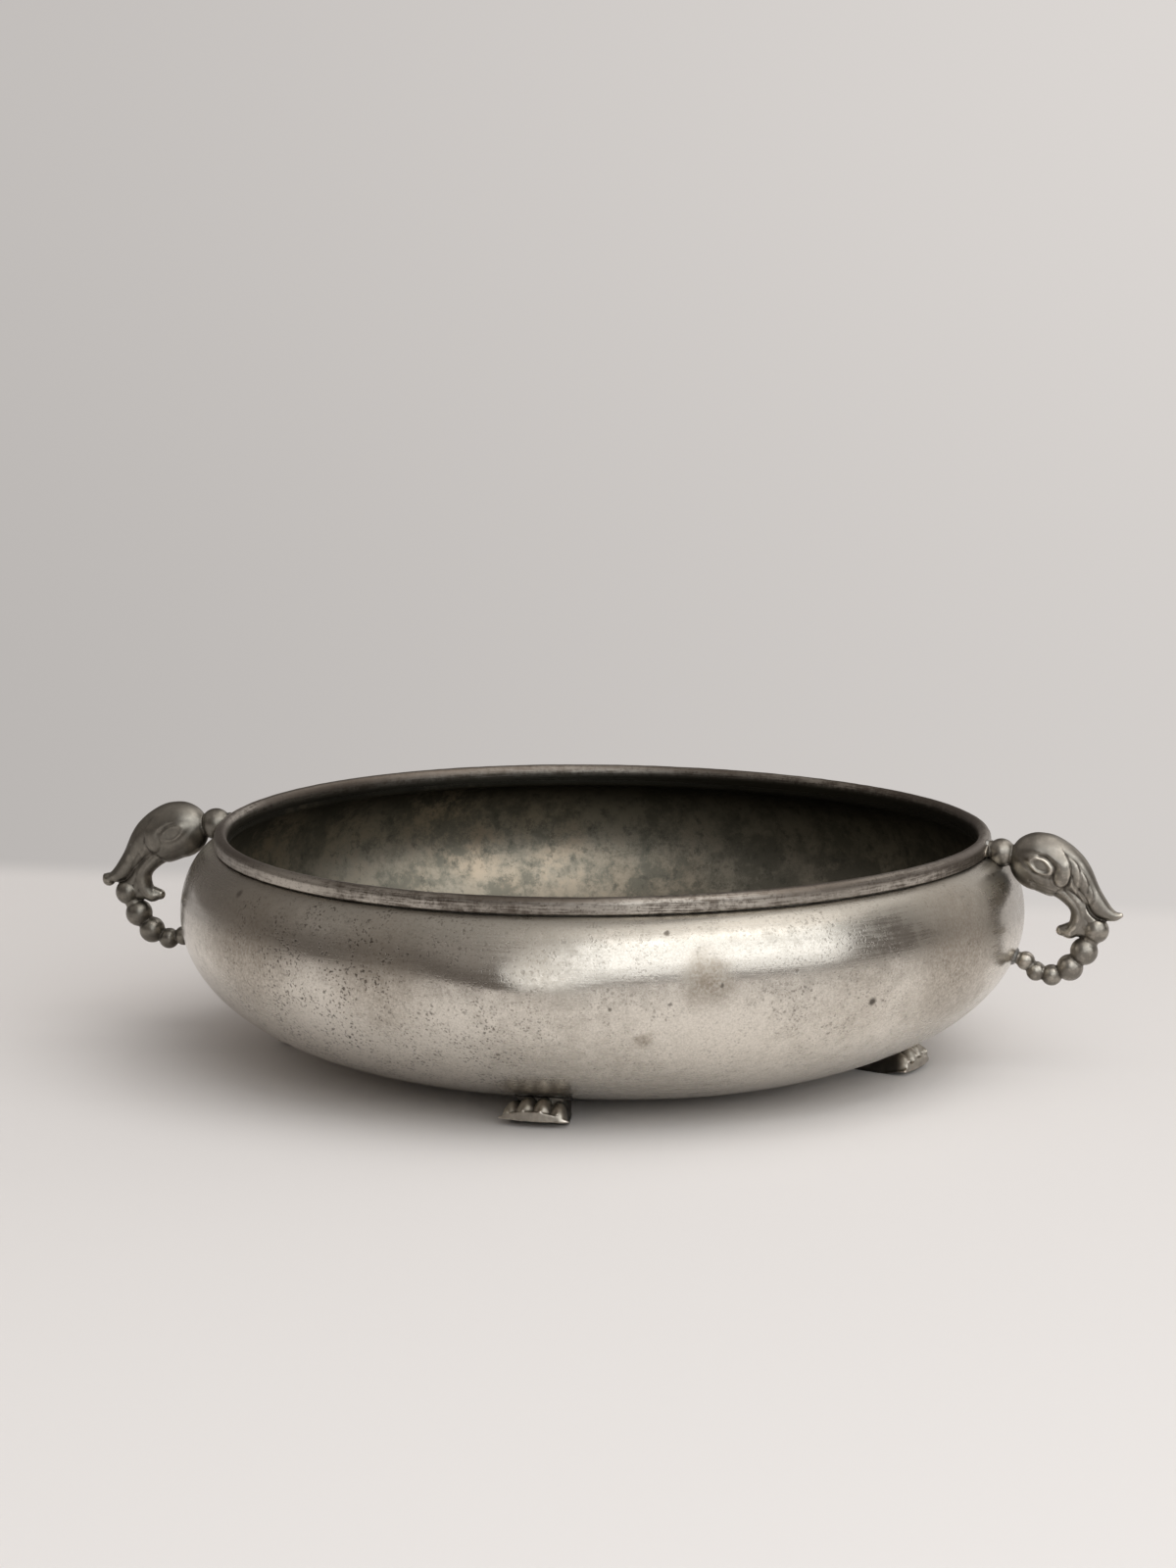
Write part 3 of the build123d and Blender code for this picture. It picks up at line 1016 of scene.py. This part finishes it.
def handle_shapes(side):
    upper_bead, rim_end = tongue_ends()
    last_bead, wall_end = collar_ends()
    beads = [handle_point(place) for place in BEAD_PLACES]
    shapes = [horn(handle_stations(HEAD_STATIONS)), horn(handle_stations(LIP_STATIONS))]
    shapes.append(egg(handle_point(HEAD_EGG_PLACE), HEAD_EGG_HALVES, HEAD_EGG_TILT))
    shapes.append(ball(handle_point(LIP_STATIONS[-1][:2]), LIP_BALL_RADIUS))
    for start, end, radius in WEBS:
        shapes.append(rod(handle_point(start), handle_point(end), radius, radius))
        shapes.append(ball(handle_point(end), radius))
    if TIP_KNOBS[side] is not None:
        place, radius = TIP_KNOBS[side]
        shapes.append(ball(handle_point(place), radius))
    shapes.append(ball(upper_bead, UPPER_BEAD_RADII[side]))
    shapes.append(rod(upper_bead, rim_end, TONGUE_BEAD_RADIUS, TONGUE_RIM_RADIUS))
    shapes.append(egg(np.array([RIM_RADIUS, 0, RIM_Z + TONGUE_SPREAD_RISE]), TONGUE_SPREAD, 0.0))
    neck = BEAD_CORE_SHARE * UPPER_BEAD_RADII[side]
    shapes.append(rod(upper_bead, handle_point(HEAD_EGG_PLACE), neck, neck))
    for start, end, radius in zip(beads, beads[1:], BEAD_RADII[1:]):
        shapes.append(rod(start, end, BEAD_CORE_SHARE * radius, BEAD_CORE_SHARE * radius))
    shapes.extend(ball(bead, radius) for bead, radius in zip(beads, BEAD_RADII))
    shapes.append(rod(last_bead, wall_end, COLLAR_RADIUS, COLLAR_RADIUS))
    return shapes


def stroke_gap(places, stroke):
    """Distance of places from a smooth stroke, and the side of it that they lie on."""
    nearest = np.full(len(places), np.inf)
    side = np.zeros(len(places))
    path = spline(stroke, steps=6)
    for start, end in zip(path, path[1:]):
        run = end - start
        share = np.clip((places - start) @ run / (run @ run), 0, 1)
        offset = places - start - share[:, None] * run
        gap = np.hypot(offset[:, 0], offset[:, 1])
        closer = gap < nearest
        nearest[closer] = gap[closer]
        side[closer] = np.sign(run[0] * offset[:, 1] - run[1] * offset[:, 0])[closer]
    return nearest, side


def groove(places, stroke, depth, half_width):
    gap, _ = stroke_gap(places, stroke)
    return -depth * np.exp(-((gap / half_width) ** 2))


def ledge(places, stroke, rise, reach):
    """A step along a stroke: up on its left side and down on its right, fading away from it."""
    gap, side = stroke_gap(places, stroke)
    return rise * side * np.exp(-gap / reach) * smooth_step(gap, 0, LEDGE_EDGE)


def eye_relief(places):
    """An almond eye: a raised rim round a flat, in a shallow socket."""
    tilt = math.radians(EYE_TILT)
    offset = places - EYE_PLACE
    along = offset @ [math.cos(tilt), math.sin(tilt)]
    across = offset @ [-math.sin(tilt), math.cos(tilt)]
    ring = np.sqrt(np.abs(along / EYE_HALF[0]) ** EYE_POINTEDNESS + np.abs(across / EYE_HALF[1]) ** 2)
    height = -EYE_FLAT_DEPTH * (1 - smooth_step(ring, *EYE_FLAT_EDGE))
    for rise, middle, half_width in (EYE_RIM, EYE_SOCKET):
        height += rise * np.exp(-(((ring - middle) / half_width) ** 2))
    return height


def lobe_relief(places):
    """A raised drop beside the eye."""
    gap, _ = stroke_gap(places, LOBE)
    down = places[:, 1]
    dome = np.clip(1 - (gap / LOBE_RADIUS) ** 2, 0, 1) ** LOBE_FULLNESS * smooth_step(down, *LOBE_FADE)
    line = np.exp(-(((gap - LOBE_RADIUS) / LOBE_LINE_HALF) ** 2)) * smooth_step(down, *LOBE_LINE_FADE)
    return LOBE_RISE * dome - LOBE_LINE_DEPTH * line


def head_relief(mesh, strength):
    """Chase the lines of the head into both of its faces."""
    points = get_points(mesh)
    normals = get_normals(mesh)
    swell = np.abs(points[:, 1])
    outward = points[:, 0] - BELLY_RADIUS - NEAR_FACE_INWARD * swell
    down = RIM_TOP_Z - points[:, 2] + NEAR_FACE_DOWN * swell
    places = np.column_stack([outward, down])
    height = eye_relief(places) + lobe_relief(places)
    height += sum(groove(places, *row) for row in GROOVES)
    height += sum(ledge(places, *row) for row in LEDGES)
    facing = smooth_step(np.abs(normals[:, 1]), *FACE_TURN)
    set_points(mesh, points + normals * (strength * height * facing)[:, None])


def ease_crown(mesh):
    """Ease away the crease where the egg and the leaf meet on top of the head."""
    points = get_points(mesh)
    outward = points[:, 0] - BELLY_RADIUS
    down = RIM_TOP_Z - points[:, 2]
    share = smooth_step(outward, *CROWN_START) * (1 - smooth_step(outward, *CROWN_END))
    share *= 1 - smooth_step(down, *CROWN_FOOT)
    for _ in range(CROWN_PASSES):
        points = points + 0.5 * share[:, None] * (neighbour_means(mesh, points) - points)
    set_points(mesh, points)


def joint_mesh(name, ends, outline, layers):
    """Solder turned round the line between two ends, its outline measured back from the second."""
    start, end = ends
    length = np.linalg.norm(end - start)
    profile = [(radius, length - back) for radius, back in outline]
    mesh = make_mesh(name, aimed(lathe(profile, JOINT_SIDES, closed=True), start, end))
    set_points(mesh, roughened(get_points(mesh), get_normals(mesh), layers))
    return mesh


def handle_mesh(side):
    mesh = fused_mesh(f"{side}_handle", handle_shapes(side), HANDLE_VOXEL, HANDLE_PASSES)
    ease_crown(mesh)
    head_relief(mesh, CHASING_DEPTHS[side])
    points = smoothed(mesh, get_points(mesh), passes=1)
    set_points(mesh, roughened(points, get_normals(mesh), HANDLE_LUMPS))
    mark_hollows(mesh, *HANDLE_HOLLOWS)
    return mesh


def make_handles(castings, solder):
    joints = {
        "upper": (tongue_ends(), UPPER_JOINT, UPPER_JOINT_LUMPS),
        "lower": (collar_ends(), LOWER_JOINT, LOWER_JOINT_LUMPS),
    }
    for side, turn in HANDLE_TURNS.items():
        casting = [castings[side]]
        add_piece(f"{side}_handle", handle_mesh(side), f"handle_{side}", casting, turn)
        for end, values in joints.items():
            name = f"{side}_{end}_joint"
            mesh = joint_mesh(name, *values)
            add_piece(name, mesh, f"handle_{side}_{end}_solder", [solder], turn)


def underside(radius):
    """Height of the bowl's outside below the belly at a radius."""
    share = np.clip((radius - BASE_RADIUS) / (BELLY_RADIUS - BASE_RADIUS), 0, 1)
    return BELLY_Z - BELLY_RISE * np.sqrt(1 - share**2)


def planted(points, side):
    """Points of a foot that points along +X, with that foot's own twist and setback."""
    _, twist, setback, _ = FOOT_PLACES[side]
    turn = np.array(Matrix.Rotation(math.radians(twist), 3, "Z"))
    middle = np.array([ANKLE_MIDDLE, 0, 0])
    return (points - middle) @ turn.T + middle - [setback, 0, 0]


def sole_rise(along, lift):
    """Height of the sole's underside, from its back at 0 to its front edge at 1, which is lifted."""
    return lift * smooth_step(along, *SOLE_LIFT_RUN)


def sole_shape(lift):
    """Fan-shaped sole, crowned in the middle, with its front edge lifted off the table."""
    rows = np.linspace(0, 1, SOLE_ROWS)
    columns = np.linspace(-1, 1, SOLE_COLUMNS)
    along, across = np.meshgrid(rows, columns, indexing="ij")
    back = SOLE_REACH - SOLE_LENGTH
    reach = SOLE_LENGTH - SOLE_FRONT_BOW * across**2
    half = SOLE_BACK_HALF + (SOLE_FRONT_HALF - SOLE_BACK_HALF) * along
    rise = sole_rise(along, lift)
    low = np.stack([back + reach * along, half * across, rise], axis=-1)
    thickness = SOLE_EDGE_THICKNESS + SOLE_CROWN * (1 - across**2)
    lean = SOLE_SLOPE * smooth_step(along, *SOLE_SLOPE_RUN)
    high = np.stack([back + reach * along - lean, half * across, rise + thickness], axis=-1)
    return loft(list(np.concatenate([low, high[::-1]]).swapaxes(0, 1)))


def toe_shape(place, size, lift):
    """A toe: pointed arches that stand in the sole and fan out towards its front edge."""
    turns = np.radians(np.linspace(-90, 90, num=25))
    bow = SOLE_FRONT_BOW * (place / SOLE_FRONT_HALF) ** 2
    back, front = TOE_STATIONS[0][0], TOE_STATIONS[-1][0]
    rings = []
    for x, top, half in spline(TOE_STATIONS, steps=6):
        bottom = sole_rise((x - SOLE_REACH + SOLE_LENGTH) / SOLE_LENGTH, lift) + TOE_FLOOR
        fan = TOE_FAN + (1 - TOE_FAN) * (x - back) / (front - back)
        y = place * fan + half * size * np.sin(turns)
        z = bottom + (top * size - bottom) * np.cos(turns) ** TOE_PEAK
        rings.append(np.column_stack([np.full_like(y, x - bow), y, z]))
    return loft(rings)


def claw_shape(place, size):
    """A blunt claw that lies along the end of a toe."""
    bow = SOLE_FRONT_BOW * (place / SOLE_FRONT_HALF) ** 2
    start, end = (np.array([x - bow, place, z * size]) for x, z in CLAW_ENDS)
    return rod(start, end, *CLAW_RADII)


def ankle_outline(grow, count):
    """The ankle's plan, a square with rounded corners, grown by grow."""
    turns = np.radians(np.linspace(0, 360, count, endpoint=False))
    square = ANKLE_SQUARENESS
    size = (np.abs(np.cos(turns)) ** square + np.abs(np.sin(turns)) ** square) ** (-1 / square)
    x = ANKLE_MIDDLE + (ANKLE_HALF_LENGTH + grow) * size * np.cos(turns)
    y = (ANKLE_HALF_WIDTH + grow) * size * np.sin(turns)
    return np.column_stack([x, y, np.zeros_like(x)])


def ankle_shape(side):
    """Rounded block from the sole up into the bowl's underside."""
    bottom = planted(ankle_outline(grow=0, count=48), side)
    top = bottom.copy()
    bottom[:, 2] = ANKLE_FLOOR
    top[:, 2] = underside(np.hypot(top[:, 0], top[:, 1])) + ANKLE_BITE
    return loft([bottom, top])


def foot_mesh(side):
    lift = FOOT_PLACES[side][-1]
    shapes = [sole_shape(lift)]
    for place, size in zip(TOE_PLACES, TOE_SIZES):
        shapes += [toe_shape(place, size, lift), claw_shape(place, size)]
    shapes = [(planted(points, side), faces) for points, faces in shapes]
    mesh = fused_mesh(f"{side}_paw", [*shapes, ankle_shape(side)], FOOT_VOXEL, FOOT_PASSES)
    points = get_points(mesh)
    raised = smooth_step(points[:, 2:], *FOOT_LUMPS_RISE)
    set_points(mesh, roughened(points, get_normals(mesh) * raised, FOOT_LUMPS))
    mark_hollows(mesh, *FOOT_HOLLOWS)
    return mesh


def foot_joint_mesh(side):
    """A bead of solder round the ankle, against the bowl."""
    path = planted(ankle_outline(FOOT_BEAD_GAP, FOOT_BEAD_STEPS), side)
    path[:, 2] = underside(np.hypot(path[:, 0], path[:, 1])) - FOOT_BEAD_DROP
    ahead = np.roll(path, -1, 0) - np.roll(path, 1, 0)
    ahead /= np.linalg.norm(ahead, axis=1)[:, None]
    outward = np.cross(ahead, [0, 0, 1])
    outward /= np.linalg.norm(outward, axis=1)[:, None]
    up = np.cross(outward, ahead)
    turns = np.linspace(0, 2 * math.pi, FOOT_BEAD_SIDES, endpoint=False)[None, :, None]
    bead = np.cos(turns) * outward[:, None] + np.sin(turns) * up[:, None]
    rings = list(path[:, None] + FOOT_BEAD_RADIUS * bead)
    mesh = make_mesh(f"{side}_paw_joint", loft(rings, closed=True))
    set_points(mesh, roughened(get_points(mesh), get_normals(mesh), FOOT_JOINT_LUMPS))
    return mesh


def make_feet(casting, solder):
    for side, (turn, *_) in FOOT_PLACES.items():
        add_piece(f"{side}_paw", foot_mesh(side), f"foot_{side}", [casting], turn)
        joint = foot_joint_mesh(side)
        add_piece(f"{side}_paw_joint", joint, f"foot_{side}_solder", [solder], turn)


# Studio: a flat pale sheet, whose part behind the bowl shows as the wall it would turn up into, and soft
# lamps at its front right and above.
# The turn shows as a line between two pixels, and the wall's tone changes across and up as painted light,
# paler to the right and towards the top
FLOOR_SIZE = 160.0
FLOOR_COLOUR = (0.738, 0.715, 0.702, 1)
FLOOR_ROUGHNESS = 0.9
FLOOR_GLOSS = 0.1
WALL_COLOURS = ((0.477, 0.454, 0.438, 1), (0.671, 0.639, 0.616, 1))
WALL_SPREAD = 0.2
WALL_FALL = 0.16
WALL_TOP_PAINTED_LIGHT = 1.10
WALL_LINE_PIXELS = ((40.0, 887.0), (1160.0, 930.0))
WALL_BLUR = 0.02
# Lamps: azimuth from the camera's, elevation, distance and size in metres, radiance and colour
LIGHTS = {
    "window": (30.0, 31.0, 2.0, (3.09, 1.89), 1.55, (0.95, 0.98, 1.0)),
    "window_middle": (32.0, 33.0, 1.96, (2.27, 1.09), 0.7, (0.95, 0.98, 1.0)),
    "ceiling": (95.0, 62.0, 2.4, (2.91, 1.29), 0.65, (1.0, 0.98, 0.96)),
    "overhead": (50.0, 66.0, 2.3, (2.65, 1.59), 1.2, (1.0, 0.98, 0.96)),
}
# The dim room and its paler parts: azimuth from the camera's, elevation, the angles from there
# within which it is full and beyond which it has faded, and colour
ROOM_TONE = (0.20, 0.18, 0.165)
ROOM_GLOWS = [
    (-90.0, 60.0, 10.0, 50.0, (0.26, 0.25, 0.24)),
    (90.0, 80.0, 5.0, 45.0, (0.25, 0.245, 0.24)),
    (135.0, 24.0, 8.0, 38.0, (0.70, 0.68, 0.66)),
]
BACKDROP_COLOUR = (0.66, 0.63, 0.61, 1)


def floor_point(camera, pixel):
    """Where the line of sight through a pixel meets the table."""
    ray = sight_line(camera, pixel)
    return camera.location - ray * (camera.location.z / ray.z)


def floor_finish(camera):
    """A matt pale sheet. Beyond the line, the camera and the metal see a glowing wall there, with painted
    light that makes it paler to the right and towards the top.
    """
    finish = Finish("pale_sheet")
    left, right = (floor_point(camera, pixel) for pixel in WALL_LINE_PIXELS)
    line = (right - left).normalized()
    beyond = Vector((-line.y, line.x, 0))
    edge = beyond.dot(left)
    past = finish.measure("DOT_PRODUCT", finish.place, beyond)
    wall = finish.step(past, edge - WALL_BLUR, edge + WALL_BLUR)
    ahead = -heading(CAMERA_AZIMUTH, 0)
    aside = Vector((ahead.y, -ahead.x, 0))
    across = finish.measure("DOT_PRODUCT", finish.place, aside)
    away = finish.plus(finish.measure("DOT_PRODUCT", finish.place, ahead), CAMERA_DISTANCE)
    spread = finish.math("DIVIDE", across, away)
    # Painted light: the wall is paler to the right and towards the top
    tone = finish.blend(finish.step(spread, -WALL_SPREAD, WALL_SPREAD), *WALL_COLOURS)
    fall = finish.math("DIVIDE", CAMERA_HEIGHT, away)
    gain = finish.step(fall, 0.0, WALL_FALL, WALL_TOP_PAINTED_LIGHT, 1.0)
    glow = finish.add("Emission", {"Color": tone, "Strength": gain})
    path = finish.add("LightPath").outputs
    seen = finish.math("MAXIMUM", path["Is Camera Ray"], path["Is Glossy Ray"])
    finish.surface.inputs["Base Color"].default_value = FLOOR_COLOUR
    finish.surface.inputs["Roughness"].default_value = FLOOR_ROUGHNESS
    finish.surface.inputs["Specular IOR Level"].default_value = FLOOR_GLOSS
    shaders = {0: finish.times(wall, seen), 1: finish.surface.outputs[0], 2: glow.outputs[0]}
    mixed = finish.add("MixShader", shaders)
    finish.feed(finish.nodes["Material Output"].inputs["Surface"], mixed.outputs[0])
    return finish.material


def make_floor(camera):
    half = FLOOR_SIZE / 2
    corners = [(-half, -half, 0), (half, -half, 0), (half, half, 0), (-half, half, 0)]
    mesh = bpy.data.meshes.new("floor")
    mesh.from_pydata(corners, [], [[0, 1, 2, 3]])
    mesh.materials.append(floor_finish(camera))
    floor = bpy.data.objects.new("floor", mesh)
    bpy.context.scene.collection.objects.link(floor)


def make_light(name, azimuth, elevation, distance, size, radiance, colour):
    """A soft rectangle of light that faces the bowl."""
    lamp = bpy.data.lights.new(name, "AREA")
    lamp.shape = "RECTANGLE"
    lamp.size, lamp.size_y = size
    lamp.energy = radiance * math.pi * size[0] * size[1]
    lamp.color = colour
    light = bpy.data.objects.new(name, lamp)
    toward = heading(CAMERA_AZIMUTH + azimuth, elevation)
    light.location = toward * distance + Vector((0, 0, BELLY_Z * MM))
    light.rotation_euler = toward.to_track_quat("Z", "Y").to_euler()
    light.visible_camera = False
    bpy.context.scene.collection.objects.link(light)


def make_world():
    """A dim room, paler above, behind and on the right; the camera sees a plain pale backdrop instead."""
    world = bpy.data.worlds.new("studio")
    bpy.context.scene.world = world
    tree = Nodes(world)
    direction = tree.add("TexCoord").outputs["Generated"]
    total = ROOM_TONE
    for azimuth, elevation, inner, outer, colour in ROOM_GLOWS:
        facing = tree.measure("DOT_PRODUCT", direction, heading(CAMERA_AZIMUTH + azimuth, elevation))
        share = tree.step(facing, math.cos(math.radians(outer)), math.cos(math.radians(inner)))
        total = tree.vector("MULTIPLY_ADD", share, colour, total)
    room = tree.nodes["Background"]
    tree.feed(room.inputs["Color"], total)
    backdrop = tree.add("Background", {"Color": BACKDROP_COLOUR})
    seen = tree.add("LightPath").outputs["Is Camera Ray"]
    mixed = tree.add("MixShader", {0: seen, 1: room.outputs[0], 2: backdrop.outputs[0]})
    tree.feed(tree.nodes["World Output"].inputs["Surface"], mixed.outputs[0])


# Solder: dark and light colours. Castings: colours, and roughness from the high places to the hollows
DULL_SOLDER = ((0.14, 0.135, 0.125, 1), (0.30, 0.295, 0.28, 1))
# Dark solder under the rim and round the ankles: tarnished, and darker still as painted shade in those
# crevices
DARK_SOLDER_AND_SHADE = ((0.03, 0.027, 0.022, 1), (0.10, 0.095, 0.085, 1))
RUBBED_HANDLE = {
    "base": (0.25, 0.23, 0.20, 1),
    "hollow_colour": (0.09, 0.08, 0.068, 1),
    "rubbed": (0.56, 0.515, 0.445, 1),
    "roughness": (0.30, 0.46),
}
# The left handle's casting: a darker copy of the right one's, as painted shade
SHADED_HANDLE = {
    "base": (0.21, 0.195, 0.168, 1),
    "hollow_colour": (0.085, 0.076, 0.064, 1),
    "rubbed": (0.33, 0.305, 0.26, 1),
    "roughness": (0.32, 0.46),
}
FOOT_CASTING = {
    "base": (0.44, 0.405, 0.35, 1),
    "hollow_colour": (0.16, 0.145, 0.12, 1),
    "rubbed": (0.76, 0.70, 0.62, 1),
    "roughness": (0.32, 0.58),
    # Painted shade on the ankles: radii where it is full and where it has gone
    "ankle_shade": (85.0, 87.5),
}

camera = make_camera()
solder = solder_finish("dull_solder", *DULL_SOLDER)
shaded_dark_solder = solder_finish("shaded_dark_solder", *DARK_SOLDER_AND_SHADE)
handle_castings = {
    "right": casting_finish("rubbed_handle", **RUBBED_HANDLE),
    "left": casting_finish("shaded_left_handle", **SHADED_HANDLE),
}
make_bowl(camera)
make_rim(camera)
make_rim_seam(shaded_dark_solder)
make_handles(handle_castings, solder)
make_feet(casting_finish("foot_casting", **FOOT_CASTING), shaded_dark_solder)
make_floor(camera)
for light_name, light_values in LIGHTS.items():
    make_light(light_name, *light_values)
make_world()
bpy.context.scene.view_settings.view_transform = "Standard"
